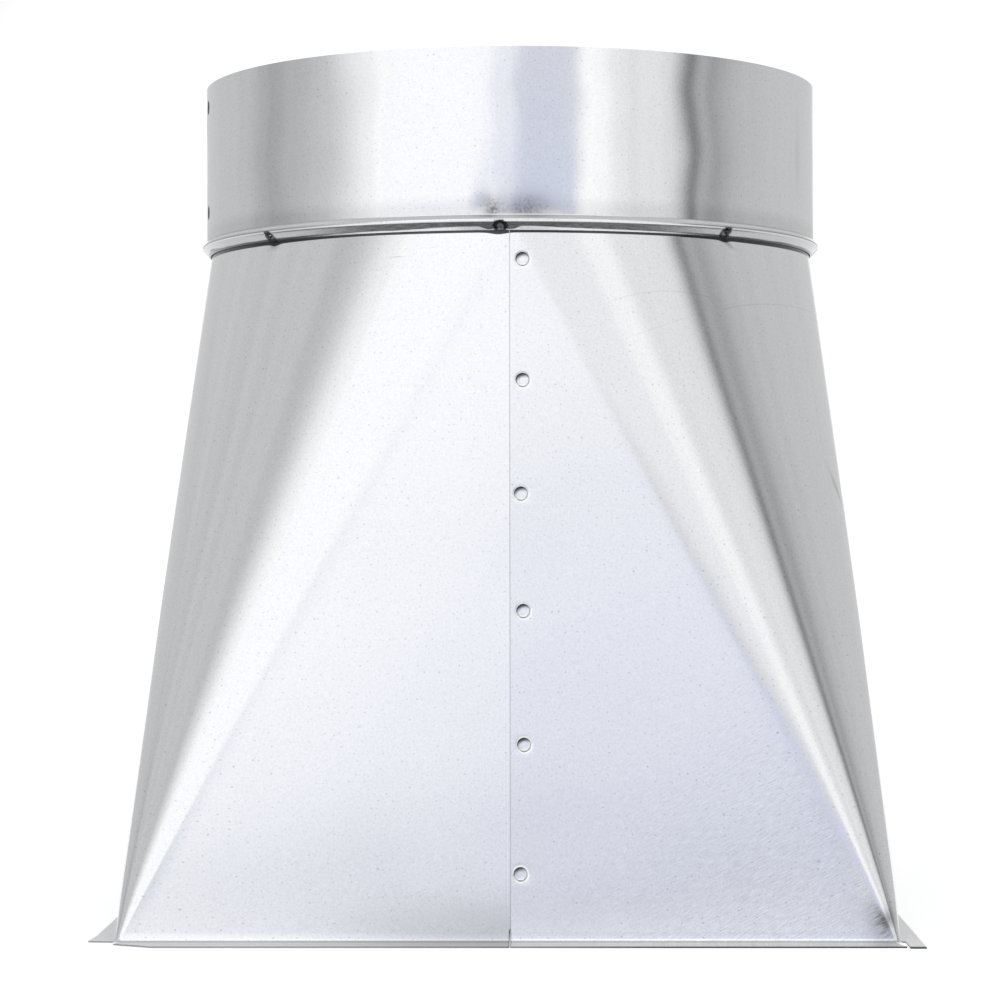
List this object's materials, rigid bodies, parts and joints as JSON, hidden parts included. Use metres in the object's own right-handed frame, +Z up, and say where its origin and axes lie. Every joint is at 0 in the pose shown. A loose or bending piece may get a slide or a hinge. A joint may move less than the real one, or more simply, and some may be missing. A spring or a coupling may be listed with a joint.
{
  "type": "range hood duct transition",
  "caption": "Square-to-round sheet steel duct transition: a flanged square base tapers up to a beaded round collar, for joining a hood's square outlet to round duct.",
  "frame": {"origin": "middle of the square base, on the plane that the flanges stand on", "axes": "+Z up along the round collar's axis, -Y towards the front lap seam"},
  "size_m": [0.3088, 0.3146, 0.3352],
  "materials": {
    "collar_zinc": "satin galvanised steel, lightly rolled",
    "body_zinc": "satin galvanised steel with fine dark specks"
  },
  "bodies": {
    "root": {"collar": "collar_zinc", "body_right": "body_zinc", "body_left": "body_zinc"}
  },
  "joints": []
}
